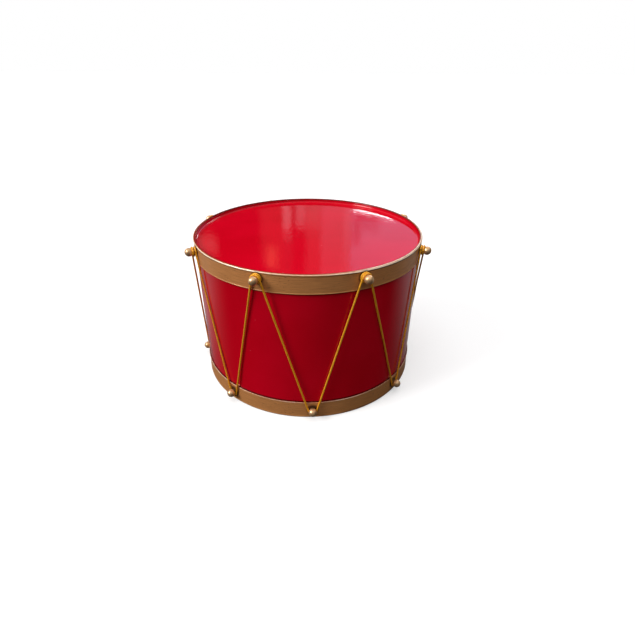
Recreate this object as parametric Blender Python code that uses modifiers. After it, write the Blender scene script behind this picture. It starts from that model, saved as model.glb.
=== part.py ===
# A decorative laced drum: a red sheet-metal shell closed by two pressed heads, held between
# gold hoops, with one elastic cord laced in a zigzag round two rings of ball knobs.
# Metres, +Z up, origin at the centre of the foot. An azimuth is measured from the front (-Y)
# and grows towards +X.
import math

import bmesh
import bpy
import numpy as np
from mathutils import Matrix, Vector

MM = 0.001

# Driving dimensions of the drum
DRUM_HEIGHT = 198.0 * MM
HOOP_RADIUS = 149.6 * MM
TOP_HOOP_HEIGHT = 23.4 * MM
BOTTOM_HOOP_HEIGHT = 24.4 * MM
HOOP_SHEET = 0.9 * MM
HOOP_BEND = 1.6 * MM
HOOP_LIP = 2.7 * MM
BEAD_PROUD = 0.4 * MM
BEAD_HEIGHT = 1.6 * MM
SHELL_SHEET = 0.8 * MM
HEAD_SHEET = 0.8 * MM
HEAD_FILLET = 2.5 * MM
TOP_RECESS = 5.5 * MM
FOOT_RECESS = 5.5 * MM
LAP_WIDTH = 10.0 * MM
SEAM_WIDTH = 0.5 * MM
SEAM_DEPTH = 0.35 * MM

# Driving dimensions of the knobs and their studs
KNOBS_PER_RING = 8
BALL_RADIUS = 5.2 * MM
NECK_RADIUS = 3.8 * MM
NECK_CHAMFER = 0.4 * MM
STUD_RADIUS = 1.5 * MM
STUD_DEPTH_IN_BALL = 0.4 * MM
TOP_KNOB_DROP = 7.8 * MM
BOTTOM_KNOB_RISE = 13.1 * MM
TOP_FIRST_AZIMUTH = -66.5
BOTTOM_FIRST_AZIMUTH = -87.1
# The knobs were set by hand, each a few degrees at most off its mark
TOP_STRAY = (1.2, -0.1, 0.3, -1.8, 2.0, 1.0, -1.0, -2.5)
BOTTOM_STRAY = (-1.7, 0.9, -1.3, 2.0, 4.5, 2.0, 0.5, -0.8)

# Driving dimensions of the lacing
CORD_DIAMETER = 2.3 * MM
TOP_PASSES = 2
PASS_GAP = 0.8 * MM
CROSS_FROM = 0.58
CROSS_TO = 0.94
WRAP_STEP = 30.0
END_GAP = 0.8 * MM
FERRULE_INDEX = 5
FERRULE_DROP = 6.0 * MM
FERRULE_LENGTH = 7.0 * MM
FERRULE_WALL = 0.4 * MM

# Clearances and facets
SEAT_GAP = 0.3 * MM
EDGE_GAP = 0.6 * MM
BALL_PLAY = 0.1 * MM
LAP_GAP = 2.0 * MM
MERGE = 0.01 * MM
RING_STEPS = 64
KNOB_STEPS = 12
STUD_STEPS = 10
BALL_STEPS = 7
FILLET_STEPS = 4
BEND_STEPS = 2
TILT_GUESS = 0.3
TILT_ROUNDS = 8

# Sizes that follow from the ones above
bead_radius = HOOP_RADIUS + BEAD_PROUD
hoop_bore = HOOP_RADIUS - HOOP_SHEET
shell_radius = hoop_bore - SEAT_GAP
shell_bore = shell_radius - SHELL_SHEET
head_radius = shell_bore - SEAT_GAP
edge_depth = HOOP_SHEET + EDGE_GAP
cord_radius = CORD_DIAMETER / 2
wrap_radius = NECK_RADIUS + SEAT_GAP + cord_radius
first_pass = bead_radius + SEAT_GAP + cord_radius
pass_step = CORD_DIAMETER + PASS_GAP
top_knob_height = DRUM_HEIGHT - TOP_KNOB_DROP
bore_radius = STUD_RADIUS + SEAT_GAP


def new_collection(name):
    collection = bpy.data.collections.new(name)
    bpy.context.scene.collection.children.link(collection)
    return collection


def make_material(name, colour, metallic, roughness):
    material = bpy.data.materials.new(name)
    material.use_nodes = True
    shader = material.node_tree.nodes["Principled BSDF"]
    shader.inputs["Base Color"].default_value = (*colour, 1.0)
    shader.inputs["Metallic"].default_value = metallic
    shader.inputs["Roughness"].default_value = roughness
    material.diffuse_color = (*colour, 1.0)
    return material


def add_part(name, data, material):
    part = bpy.data.objects.new(name, data)
    parts.objects.link(part)
    part.parent = drum
    data.materials.append(material)
    return part


def add_cutter(name, mesh):
    cutter = bpy.data.objects.new(name, mesh)
    cutters.objects.link(cutter)
    cutter.hide_render = True
    cutter.display_type = "WIRE"
    return cutter


def turn(name, profile, closed, steps, material):
    # a profile of (radius, height) pairs, turned about the object's own Z
    points = [(radius, 0.0, height) for radius, height in profile]
    edges = [(i, i + 1) for i in range(len(points) - 1)]
    if closed:
        edges.append((len(points) - 1, 0))
    mesh = bpy.data.meshes.new(name)
    mesh.from_pydata(points, edges, [])
    part = add_part(name, mesh, material)
    screw = part.modifiers.new("turn", "SCREW")
    screw.axis = "Z"
    screw.angle = 2 * math.pi
    screw.steps = steps
    screw.render_steps = steps
    screw.use_merge_vertices = True
    screw.merge_threshold = MERGE
    screw.use_smooth_shade = True
    return part


def cut(part, name, operation, cutter):
    boolean = part.modifiers.new(name, "BOOLEAN")
    boolean.operation = operation
    boolean.solver = "EXACT"
    boolean.object = cutter


def arc(centre, radius, start, end, steps):
    # points on a circle from one angle to another, in degrees, both ends included
    angles = np.radians(np.linspace(start, end, steps + 1))
    return [(centre[0] + radius * math.cos(a), centre[1] + radius * math.sin(a)) for a in angles]


def outward(azimuth):
    angle = math.radians(azimuth)
    return Vector((math.sin(angle), -math.cos(angle), 0.0))


def sideways(azimuth):
    angle = math.radians(azimuth)
    return Vector((math.cos(angle), math.sin(angle), 0.0))


def on_drum(azimuth, radius, height):
    return outward(azimuth) * radius + Vector((0.0, 0.0, height))


def knob_azimuth(ring, index):
    first = TOP_FIRST_AZIMUTH if ring == "top" else BOTTOM_FIRST_AZIMUTH
    stray = TOP_STRAY if ring == "top" else BOTTOM_STRAY
    return first + index * 360.0 / KNOBS_PER_RING + stray[index]


def knob_height(ring):
    return top_knob_height if ring == "top" else BOTTOM_KNOB_RISE


def ball_distance(ring):
    # from the drum's axis to the ball's centre: the last pass of cord just clears the ball
    passes = TOP_PASSES if ring == "top" else 1
    clear = BALL_RADIUS + SEAT_GAP + cord_radius
    stand_off = math.sqrt(clear ** 2 - wrap_radius ** 2) + BALL_PLAY
    return first_pass + (passes - 1) * pass_step + stand_off


# The shell: a rolled tube whose inner ply laps behind the butt line at the back

def make_shell():
    low = edge_depth
    high = DRUM_HEIGHT - edge_depth
    wall = [(shell_radius, high), (shell_radius, low), (shell_bore, low), (shell_bore, high)]
    shell = turn("shell", wall, True, RING_STEPS, red_enamel)

    lap_low = FOOT_RECESS + HEAD_SHEET + LAP_GAP
    lap_high = DRUM_HEIGHT - TOP_RECESS - HEAD_SHEET - LAP_GAP
    # half a sheet of the ply's depth is sunk into the shell, for the union
    depth = 1.5 * SHELL_SHEET
    lap = box_mesh("lap", LAP_WIDTH, depth, lap_high - lap_low,
                   Vector((LAP_WIDTH / 4, shell_bore - SHELL_SHEET + depth / 2, (lap_low + lap_high) / 2)))
    cut(shell, "lap", "UNION", add_cutter("lap_ply", lap))

    seam = box_mesh("seam", SEAM_WIDTH, 2 * SEAM_DEPTH, 2 * DRUM_HEIGHT,
                    Vector((0.0, shell_radius, DRUM_HEIGHT / 2)))
    cut(shell, "seam", "DIFFERENCE", add_cutter("seam_line", seam))


def box_mesh(name, width, depth, height, centre):
    box = bmesh.new()
    place = Matrix.Translation(centre) @ Matrix.Diagonal((width, depth, height, 1.0))
    bmesh.ops.create_cube(box, size=1.0, matrix=place)
    mesh = bpy.data.meshes.new(name)
    box.to_mesh(mesh)
    box.free()
    return mesh


# The heads: one pressed pan at each end, its wall standing inside the shell

def head_profile(recess):
    # in depth below the rim: the face out to the fillet, up the wall, over and back underneath
    face = recess
    wall_in = head_radius - HEAD_SHEET
    centre = (wall_in - HEAD_FILLET, face - HEAD_FILLET)
    inner = arc(centre, HEAD_FILLET, 90, 0, FILLET_STEPS)
    outer = arc(centre, HEAD_FILLET + HEAD_SHEET, 0, 90, FILLET_STEPS)
    rim = [(wall_in, edge_depth), (head_radius, edge_depth)]
    return [(0.0, face)] + inner + rim + outer + [(0.0, face + HEAD_SHEET)]


def make_heads():
    top = [(radius, DRUM_HEIGHT - depth) for radius, depth in head_profile(TOP_RECESS)]
    turn("top_head", top, False, RING_STEPS, red_enamel)
    bottom = head_profile(FOOT_RECESS)
    turn("bottom_head", bottom[::-1], False, RING_STEPS, red_enamel)


# The hoops: a flat band, its outer edge turned in over the shell and its free edge beaded

def hoop_profile(height):
    # in depth from the turned-in edge, down the outside and back up the inside
    bend_in = HOOP_BEND - HOOP_SHEET
    lip = HOOP_RADIUS - HOOP_LIP
    bend = arc((bead_radius - HOOP_BEND, HOOP_BEND), HOOP_BEND, -90, 0, BEND_STEPS)
    outside = [(HOOP_RADIUS, HOOP_BEND + BEAD_HEIGHT),
               (HOOP_RADIUS, height - BEAD_HEIGHT),
               (bead_radius, height - BEAD_HEIGHT / 2),
               (HOOP_RADIUS, height)]
    inside = [(hoop_bore, height),
              (hoop_bore, HOOP_SHEET + bend_in),
              (hoop_bore - bend_in, HOOP_SHEET)]
    end = [(lip + HOOP_SHEET / 2, HOOP_SHEET), (lip, HOOP_SHEET / 2), (lip + HOOP_SHEET / 2, 0.0)]
    return bend + outside + inside + end


def stud_holes(ring):
    holes = bmesh.new()
    reach = 3 * HOOP_SHEET
    for index in range(KNOBS_PER_RING):
        azimuth = knob_azimuth(ring, index)
        turned = outward(azimuth).to_track_quat("Z", "Y").to_matrix().to_4x4()
        place = Matrix.Translation(on_drum(azimuth, HOOP_RADIUS, knob_height(ring))) @ turned
        bmesh.ops.create_cone(holes, cap_ends=True, segments=KNOB_STEPS, radius1=bore_radius,
                              radius2=bore_radius, depth=2 * reach, matrix=place)
    mesh = bpy.data.meshes.new(ring + "_holes")
    holes.to_mesh(mesh)
    holes.free()
    return add_cutter(ring + "_stud_holes", mesh)


def make_hoops():
    top = [(radius, DRUM_HEIGHT - depth) for radius, depth in hoop_profile(TOP_HOOP_HEIGHT)]
    top_hoop = turn("top_hoop", top, True, RING_STEPS, gold_paint)
    cut(top_hoop, "stud_holes", "DIFFERENCE", stud_holes("top"))
    bottom = hoop_profile(BOTTOM_HOOP_HEIGHT)
    bottom_hoop = turn("bottom_hoop", bottom[::-1], True, RING_STEPS, gold_paint)
    cut(bottom_hoop, "stud_holes", "DIFFERENCE", stud_holes("bottom"))


# The knobs: a ball and neck turned in one piece and screwed onto a stud set in the hoop

def knob_profile(ring):
    # in height above the neck's foot: pole, ball, neck, foot and up the blind bore
    centre = ball_distance(ring) - HOOP_RADIUS - SEAT_GAP
    waist = math.degrees(math.asin(NECK_RADIUS / BALL_RADIUS))
    ball = arc((0.0, centre), BALL_RADIUS, 90, waist - 90, BALL_STEPS)
    ball[0] = (0.0, centre + BALL_RADIUS)
    foot = [(NECK_RADIUS, NECK_CHAMFER), (NECK_RADIUS - NECK_CHAMFER, 0.0)]
    bore_end = centre + STUD_DEPTH_IN_BALL + SEAT_GAP
    bore = [(bore_radius, 0.0), (bore_radius, bore_end), (0.0, bore_end)]
    return ball + foot + bore


def make_knobs(ring):
    profile = knob_profile(ring)
    stud_end = ball_distance(ring) + STUD_DEPTH_IN_BALL
    length = stud_end - hoop_bore
    for index in range(KNOBS_PER_RING):
        azimuth = knob_azimuth(ring, index)
        turned = outward(azimuth).to_track_quat("Z", "Y").to_euler()
        height = knob_height(ring)

        knob = turn(f"{ring}_knob_{index + 1}", profile, False, KNOB_STEPS, knob_metal)
        knob.location = on_drum(azimuth, HOOP_RADIUS + SEAT_GAP, height)
        knob.rotation_euler = turned

        rod = bmesh.new()
        bmesh.ops.create_cone(rod, cap_ends=True, segments=STUD_STEPS, radius1=STUD_RADIUS,
                              radius2=STUD_RADIUS, depth=length)
        mesh = bpy.data.meshes.new(f"{ring}_stud_{index + 1}")
        rod.to_mesh(mesh)
        rod.free()
        stud = add_part(f"{ring}_stud_{index + 1}", mesh, stud_steel)
        stud.location = on_drum(azimuth, hoop_bore + length / 2, height)
        stud.rotation_euler = turned


# The lacing: strands that lie over the hoops' beads, and the passes round the necks

def neck_point(ring, index, angle, distance, radius):
    # a point round a knob's neck, at an angle from the horizontal, growing anticlockwise
    azimuth = knob_azimuth(ring, index)
    across = sideways(azimuth) * radius * math.cos(angle)
    up = Vector((0.0, 0.0, knob_height(ring) + radius * math.sin(angle)))
    return outward(azimuth) * distance + across + up


def pass_distance(index, turns):
    # how far out the cord lies after so many turns round a top neck, counted from its left side:
    # level over the top of the neck, and one pass along it while the cord goes underneath
    whole = math.floor(turns)
    across = (turns - whole - CROSS_FROM) / (CROSS_TO - CROSS_FROM)
    across = min(1.0, max(0.0, across))
    moved = whole + across ** 2 * (3 - 2 * across)
    if index % 2 == 0:
        moved = TOP_PASSES - 1 - moved
    return first_pass + moved * pass_step


def strand_tilts(top, bottom, side):
    # the tilt from the vertical at each end of a strand that crosses from a top knob's side
    # (+1 right, -1 left) to the near side of a bottom knob, both in radians
    top_tilt = bottom_tilt = TILT_GUESS
    turns = TOP_PASSES - 0.5 if side > 0 else 0.0
    for _ in range(TILT_ROUNDS):
        start_angle = top_tilt if side > 0 else math.pi - top_tilt
        end_angle = math.pi + bottom_tilt if side > 0 else -bottom_tilt
        start = neck_point("top", top, start_angle, pass_distance(top, turns), wrap_radius)
        end = neck_point("bottom", bottom, end_angle, first_pass, wrap_radius)
        run = end - start
        top_tilt = math.atan2(side * run.dot(sideways(knob_azimuth("top", top))), -run.z)
        bottom_tilt = math.atan2(side * run.dot(sideways(knob_azimuth("bottom", bottom))), -run.z)
    return top_tilt, bottom_tilt


def push_out(point, radius):
    flat = Vector((point.x, point.y, 0.0))
    if flat.length < radius:
        flat = flat.normalized() * radius
    return Vector((flat.x, flat.y, point.z))


def strand_points(start, end):
    # between two knobs: over the bead of each hoop, and clear of the shell between them
    top_bead = DRUM_HEIGHT - TOP_HOOP_HEIGHT + BEAD_HEIGHT / 2
    bottom_bead = BOTTOM_HOOP_HEIGHT - BEAD_HEIGHT / 2
    over = [push_out(start.lerp(end, (start.z - height) / (start.z - end.z)), first_pass)
            for height in (top_bead, bottom_bead)]
    shell_clear = shell_radius + SEAT_GAP + cord_radius
    between = [push_out(over[0].lerp(over[1], share), shell_clear) for share in (0.25, 0.5, 0.75)]
    return [over[0]] + between + [over[1]]


def wrap_points(ring, index, left_tilt, right_tilt):
    # the corners of a polygon drawn round the neck, from the left strand to the right one
    if ring == "top":
        sweep = (2 * TOP_PASSES - 1) * math.pi - left_tilt - right_tilt
        first, direction = math.pi - left_tilt, -1
    else:
        sweep = math.pi - left_tilt - right_tilt
        first, direction = math.pi + left_tilt, 1
    count = round(math.degrees(sweep) / WRAP_STEP)
    step = sweep / count
    corner = wrap_radius / math.cos(step / 2)
    points = []
    for number in range(count):
        swept = (number + 0.5) * step
        distance = first_pass
        if ring == "top":
            distance = pass_distance(index, (swept + left_tilt) / (2 * math.pi))
        points.append(neck_point(ring, index, first + direction * swept, distance, corner))
    return points


def lacing_route():
    # once round the drum from the ferrule and back to it; bottom knob k stands left of top knob k
    count = KNOBS_PER_RING
    down = [strand_tilts(k, (k + 1) % count, 1) for k in range(count)]
    up = [strand_tilts(k, k, -1) for k in range(count)]
    tops = [wrap_points("top", k, up[k][0], down[k][0]) for k in range(count)]
    bottoms = [wrap_points("bottom", k, down[k - 1][1], up[k][1]) for k in range(count)]

    route = []
    for step in range(count):
        k = (FERRULE_INDEX + step) % count
        below = (k + 1) % count
        route += strand_points(tops[k][-1], bottoms[below][0])
        route += bottoms[below]
        route += strand_points(tops[below][0], bottoms[below][-1])[::-1]
        route += tops[below]

    run = (route[0] - route[-1]).normalized()
    middle = route[-1] + run * (FERRULE_DROP + FERRULE_LENGTH / 2)
    half = run * END_GAP / 2
    return [middle + half] + route + [middle - half], middle, run


def least_self_gap(route):
    # between the skins of any two stretches of cord more than three diameters apart along it,
    # measured on points every quarter diameter, without the two ends inside the ferrule
    samples = []
    along = []
    travelled = 0.0
    for start, end in zip(route, route[1:]):
        length = (end - start).length
        steps = max(1, math.ceil(length / (CORD_DIAMETER / 4)))
        for number in range(steps):
            samples.append(start.lerp(end, number / steps))
            along.append(travelled + length * number / steps)
        travelled += length
    points = np.array(samples)
    along = np.array(along)
    inside = FERRULE_LENGTH / 2
    kept = (along > inside) & (along < travelled - inside)
    points, along = points[kept], along[kept]
    least = np.inf
    for point, place in zip(points, along):
        apart = np.abs(along - place) > 3 * CORD_DIAMETER
        distance = np.linalg.norm(points[apart] - point, axis=1).min()
        least = min(least, distance)
    return least - CORD_DIAMETER, travelled


def make_lacing():
    route, middle, run = lacing_route()
    curve = bpy.data.curves.new("lacing_cord", "CURVE")
    curve.dimensions = "3D"
    curve.bevel_depth = cord_radius
    curve.bevel_resolution = 1
    curve.use_fill_caps = True
    spline = curve.splines.new("POLY")
    spline.points.add(len(route) - 1)
    for point, place in zip(spline.points, route):
        point.co = (*place, 1.0)
    add_part("lacing_cord", curve, gold_cord)
    gap, length = least_self_gap(route)
    print(f"lacing cord: {length / MM:.0f} mm long, least gap to itself {gap / MM:.2f} mm")

    bore = cord_radius + SEAT_GAP
    skin = bore + FERRULE_WALL
    half = FERRULE_LENGTH / 2
    sleeve = [(skin, half), (skin, -half), (bore, -half), (bore, half)]
    ferrule = turn("cord_ferrule", sleeve, True, KNOB_STEPS, knob_metal)
    ferrule.location = middle
    ferrule.rotation_euler = run.to_track_quat("Z", "Y").to_euler()


for old in list(bpy.data.objects):
    bpy.data.objects.remove(old, do_unlink=True)

parts = new_collection("laced_drum")
cutters = new_collection("laced_drum_cutters")
drum = bpy.data.objects.new("drum", None)
parts.objects.link(drum)

red_enamel = make_material("red_enamel", (0.46, 0.004, 0.018), 0.0, 0.18)
gold_paint = make_material("gold_paint", (0.48, 0.28, 0.13), 0.75, 0.42)
knob_metal = make_material("knob_metal", (0.72, 0.48, 0.31), 1.0, 0.28)
stud_steel = make_material("stud_steel", (0.55, 0.55, 0.56), 1.0, 0.35)
gold_cord = make_material("gold_cord", (0.60, 0.31, 0.03), 0.5, 0.45)

make_shell()
make_heads()
make_hoops()
make_knobs("top")
make_knobs("bottom")
make_lacing()
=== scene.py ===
import bpy
import numpy as np
from mathutils import Matrix


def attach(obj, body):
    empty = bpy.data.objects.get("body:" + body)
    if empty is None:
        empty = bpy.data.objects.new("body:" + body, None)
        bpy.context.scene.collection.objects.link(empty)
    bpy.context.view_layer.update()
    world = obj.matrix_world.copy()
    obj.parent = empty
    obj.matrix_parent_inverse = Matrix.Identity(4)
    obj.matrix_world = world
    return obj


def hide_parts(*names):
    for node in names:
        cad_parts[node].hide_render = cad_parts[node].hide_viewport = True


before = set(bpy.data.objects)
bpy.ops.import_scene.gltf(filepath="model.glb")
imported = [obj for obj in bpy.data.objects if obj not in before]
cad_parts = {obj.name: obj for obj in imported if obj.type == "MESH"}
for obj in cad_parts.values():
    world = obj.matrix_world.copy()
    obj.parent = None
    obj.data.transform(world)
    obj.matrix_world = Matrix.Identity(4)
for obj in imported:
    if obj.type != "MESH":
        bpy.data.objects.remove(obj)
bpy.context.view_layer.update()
scene = bpy.context.scene
print("frame loaded,", len(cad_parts), "nodes")

# Lengths are in millimetres unless a line says metres, and angles in degrees, with azimuth 0 at the
# front (-Y) and growing towards +X. makePiece turns the surfaces into metres.
mm = 0.001


# Camera, light and floor

camera = {
    "place": (0.0, -553.2, 384.1),
    "turn": 1.36,  # to the right of +Y
    "tilt": 30.44,  # down from the horizon
    "roll": 0.38,
    "lens": 24.18,  # for a 36 mm sensor
}


def setCamera():
    # the view's own axes: ahead from turn and tilt, then right and up rolled about it
    turn, tilt, roll = np.radians([camera["turn"], camera["tilt"], camera["roll"]])
    ahead = np.array([np.sin(turn) * np.cos(tilt), np.cos(turn) * np.cos(tilt), -np.sin(tilt)])
    level = np.array([np.cos(turn), -np.sin(turn), 0.0])
    upright = np.cross(level, ahead)
    right = level * np.cos(roll) + upright * np.sin(roll)
    up = upright * np.cos(roll) - level * np.sin(roll)
    lens = bpy.data.cameras.new("camera")
    lens.sensor_width = 36.0
    lens.lens = camera["lens"]
    lens.clip_start = 0.01
    lens.clip_end = 200.0
    eye = bpy.data.objects.new("camera", lens)
    scene.collection.objects.link(eye)
    place = np.array(camera["place"]) * mm
    axes = np.eye(4)
    axes[:3, 0], axes[:3, 1], axes[:3, 2], axes[:3, 3] = right, up, -ahead, place
    eye.matrix_world = Matrix(axes.tolist())
    scene.camera = eye


def link(tree, source, target):
    tree.links.new(source, target)


def setSocket(tree, socket, value):
    # a link from another node's output, or a number or colour on the socket itself
    if isinstance(value, bpy.types.NodeSocket):
        link(tree, value, socket)
    elif isinstance(value, tuple):
        socket.default_value = (*value, 1.0)
    else:
        socket.default_value = value


def node(tree, kind, **settings):
    # one node, by its kind without ShaderNode; a setting that names a socket sets or links it
    made = tree.nodes.new("ShaderNode" + kind)
    for key, value in settings.items():
        if hasattr(made, key):
            setattr(made, key, value)
        else:
            setSocket(tree, made.inputs[key], value)
    return made


def noise(tree, spot, **settings):
    return node(tree, "TexNoise", Vector=spot, **settings).outputs[0]


def spotOf(tree):
    return node(tree, "TexCoord").outputs["Object"]


def axesOf(tree, vector):
    return node(tree, "SeparateXYZ", Vector=vector).outputs


def inOrder(tree, kind, *values, **settings):
    # a node whose first sockets get these values in turn
    made = node(tree, kind, **settings)
    for socket, value in zip(made.inputs, values):
        setSocket(tree, socket, value)
    return made.outputs[0]


def maths(tree, operation, *values, clamp=False):
    return inOrder(tree, "Math", *values, operation=operation, use_clamp=clamp)


def mixColour(tree, share, first, second):
    made = node(tree, "Mix", data_type="RGBA")
    for number, value in ((0, share), (6, first), (7, second)):  # the sockets that mix colours
        setSocket(tree, made.inputs[number], value)
    return made.outputs[2]


def span(tree, value, low, high, toLow=0.0, toHigh=1.0):
    # one range carried over to another, eased and held at its ends
    made = node(tree, "MapRange", interpolation_type="SMOOTHSTEP")
    for name, number in (("Value", value), ("From Min", low), ("From Max", high),
                         ("To Min", toLow), ("To Max", toHigh)):
        setSocket(tree, made.inputs[name], number)
    return made.outputs["Result"]


def bumpNormal(tree, height, distance):
    # distance in metres for a height of one
    return node(tree, "Bump", Strength=1.0, Distance=distance, Height=height).outputs[0]


light = {
    "dome": 0.50,  # the ceiling, from one height to where it is full
    "domeFrom": (24.0, 50.0),
    "low": (0.05, 0.05, 0.055),  # the room near the horizon
    "side": 2.25,  # the side light, as a sun
    "sidePlace": (-72.0, 34.0),
    "sideAngle": 24.0,
    "over": 1.70,  # a wide light from above
    "overPlace": (0.0, 82.0),
    "overAngle": 64.0,
}

# what stands behind the drum and shows in its head: each pane's azimuths from +Y, its heights,
# how soft its edges are, and its colour
panes = {
    "wall": ((-40.0, -6.2), (8.0, 30.0), 0.5, (0.04, 0.004, 0.004)),
    "leftPane": ((-17.0, -12.7), (18.9, 21.2), 0.6, (0.45, 0.20, 0.20)),
    "doorway": ((-6.4, -3.4), (10.0, 23.4), 0.8, (0.28, 0.05, 0.05)),
    "post": ((-3.5, -2.4), (10.0, 19.3), 0.35, (0.60, 0.36, 0.40)),
    "gap": ((-2.3, -0.3), (18.6, 30.0), 0.5, (0.16, 0.015, 0.015)),
    "panel": ((-1.7, -0.3), (10.0, 18.6), 0.4, (0.42, 0.28, 0.31)),
    "shelf": ((-0.3, 1.7), (10.0, 18.8), 0.5, (0.35, 0.20, 0.21)),
    "belowShelf": ((-0.3, 1.8), (18.8, 30.0), 0.6, (0.38, 0.10, 0.11)),
    "curtain": ((1.7, 5.6), (10.0, 30.0), 0.5, (0.55, 0.23, 0.29)),
    "curtainEdge": ((4.9, 5.9), (15.0, 24.0), 0.4, (0.60, 0.33, 0.42)),
    "paleWall": ((5.9, 40.0), (10.0, 30.0), 0.3, (0.55, 0.50, 0.78)),
    "wallShade": ((6.0, 7.2), (17.0, 20.5), 0.5, (0.36, 0.27, 0.42)),
    "sill": ((6.4, 9.6), (16.4, 18.3), 0.6, (0.22, 0.17, 0.30)),
    "window": ((6.1, 11.75), (11.0, 16.35), 0.22, (8.0, 8.1, 8.4)),
    "highWindow": ((20.0, 50.0), (32.5, 37.5), 0.8, (11.0, 11.0, 10.4)),
    "lampGlow": ((-5.7, -4.4), (21.0, 23.3), 0.7, (1.0, 0.24, 0.15)),
}
paneLean = 0.12  # how much a pane's heights rise per degree to its right


def paneMask(tree, azimuth, height, across, up, soft):
    # one inside the pane and nought outside it, eased over its soft edges
    middle = (across[0] + across[1]) / 2
    lean = maths(tree, "MULTIPLY_ADD", azimuth, -paneLean, paneLean * middle)
    level = maths(tree, "ADD", height, lean)
    mask = span(tree, azimuth, across[0] - soft, across[0] + soft)
    sides = ((azimuth, across[1], 1.0, 0.0), (level, up[0], 0.0, 1.0), (level, up[1], 1.0, 0.0))
    for value, edge, before, after in sides:
        side = span(tree, value, edge - soft, edge + soft, before, after)
        mask = maths(tree, "MULTIPLY", mask, side)
    return mask


def setWorld():
    world = bpy.data.worlds.new("room")
    world.use_nodes = True
    tree = world.node_tree
    tree.nodes.clear()
    axes = axesOf(tree, node(tree, "TexCoord").outputs["Generated"])
    toDegrees = 180.0 / np.pi
    azimuth = maths(tree, "MULTIPLY", maths(tree, "ARCTAN2", axes["X"], axes["Y"]), toDegrees)
    height = maths(tree, "MULTIPLY", maths(tree, "ARCSINE", axes["Z"]), toDegrees)
    room = light["low"]
    for across, up, soft, colour in panes.values():
        room = mixColour(tree, paneMask(tree, azimuth, height, across, up, soft), room, colour)
    above = span(tree, height, *light["domeFrom"])
    room = mixColour(tree, above, room, (light["dome"],) * 3)
    seen = node(tree, "LightPath").outputs["Is Camera Ray"]
    colour = mixColour(tree, seen, room, (1.0, 1.0, 1.0))
    glow = node(tree, "Background", Strength=1.0, Color=colour).outputs[0]
    node(tree, "OutputWorld", Surface=glow)
    scene.world = world


def addSun(name, strength, place, angle):
    # a lamp that shines from this azimuth and height onto the drum
    azimuth, height = place
    lamp = bpy.data.lights.new(name, "SUN")
    lamp.energy = strength
    lamp.angle = np.radians(angle)
    holder = bpy.data.objects.new(name, lamp)
    holder.rotation_euler = (np.radians(90.0 - height), 0.0, np.radians(azimuth))
    scene.collection.objects.link(holder)
    return holder


floor = {
    "wide": 60.0,  # metres
    "colour": (0.62, 0.62, 0.62),
    "lift": 0.42,  # emission, so that the open floor is white
    "bounce": 0.10,  # what other surfaces get back from it
    "mirror": (-0.14, 0.12, 0.006, 0.31),  # two places along Y in metres, and what gloss shows there
}


def setFloor():
    half = floor["wide"] / 2
    mesh = bpy.data.meshes.new("floor")
    corners = [(-half, -half, 0.0), (half, -half, 0.0), (half, half, 0.0), (-half, half, 0.0)]
    mesh.from_pydata(corners, [], [(0, 1, 2, 3)])
    ground = bpy.data.objects.new("floor", mesh)
    scene.collection.objects.link(ground)
    paint = bpy.data.materials.new("floorPaper")
    paint.use_nodes = True
    tree = paint.node_tree
    tree.nodes.clear()
    paths = node(tree, "LightPath").outputs
    far = span(tree, axesOf(tree, spotOf(tree))["Y"], *floor["mirror"])
    colour = mixColour(tree, paths["Is Diffuse Ray"], floor["colour"], (floor["bounce"],) * 3)
    matte = node(tree, "BsdfDiffuse", Color=colour).outputs[0]
    seen = maths(tree, "MULTIPLY", paths["Is Camera Ray"], floor["lift"])
    lift = node(tree, "Emission", Strength=seen).outputs[0]
    both = inOrder(tree, "AddShader", matte, lift)
    mirrored = node(tree, "Emission", Strength=far).outputs[0]
    shown = inOrder(tree, "MixShader", paths["Is Glossy Ray"], both, mirrored)
    node(tree, "OutputMaterial", Surface=shown)
    mesh.materials.append(paint)


setCamera()
setWorld()
addSun("sideLight", light["side"], light["sidePlace"], light["sideAngle"])
overLight = addSun("overLight", light["over"], light["overPlace"], light["overAngle"])
overLight.visible_glossy = False  # so that no bright patch of it shows in the gloss
setFloor()
scene.view_settings.view_transform = "Standard"
print("camera, light and floor set")


# Surface effects that several materials share

def newGroup(name, inputs, outputs):
    # inputs: a number to start from, or None for a vector; outputs: Float or Vector
    group = bpy.data.node_groups.new(name, "ShaderNodeTree")
    for title, value in inputs.items():
        kind = "NodeSocketVector" if value is None else "NodeSocketFloat"
        socket = group.interface.new_socket(name=title, in_out="INPUT", socket_type=kind)
        if value is not None:
            socket.default_value = value
    for title, kind in outputs.items():
        group.interface.new_socket(name=title, in_out="OUTPUT", socket_type="NodeSocket" + kind)
    return group, group.nodes.new("NodeGroupInput").outputs, group.nodes.new("NodeGroupOutput").inputs


def makePeel():
    # the orange-peel skin of sprayed paint: cells of Size mm, Depth mm deep, with slow swells below
    group, come, go = newGroup("paintPeel", {"Place": None, "Size": 1.6, "Depth": 0.02, "Swell": 0.05},
                               {"Normal": "Vector"})
    perMetre = maths(group, "DIVIDE", 1.0 / mm, come["Size"])
    cells = noise(group, come["Place"], Scale=perMetre, Detail=1.5, Roughness=0.4)
    swells = noise(group, come["Place"], Scale=38.0, Detail=1.0)
    fine = maths(group, "MULTIPLY", cells, come["Depth"])
    slow = maths(group, "MULTIPLY", swells, come["Swell"])
    height = maths(group, "ADD", fine, slow)
    link(group, bumpNormal(group, height, mm), go["Normal"])
    return group


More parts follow.
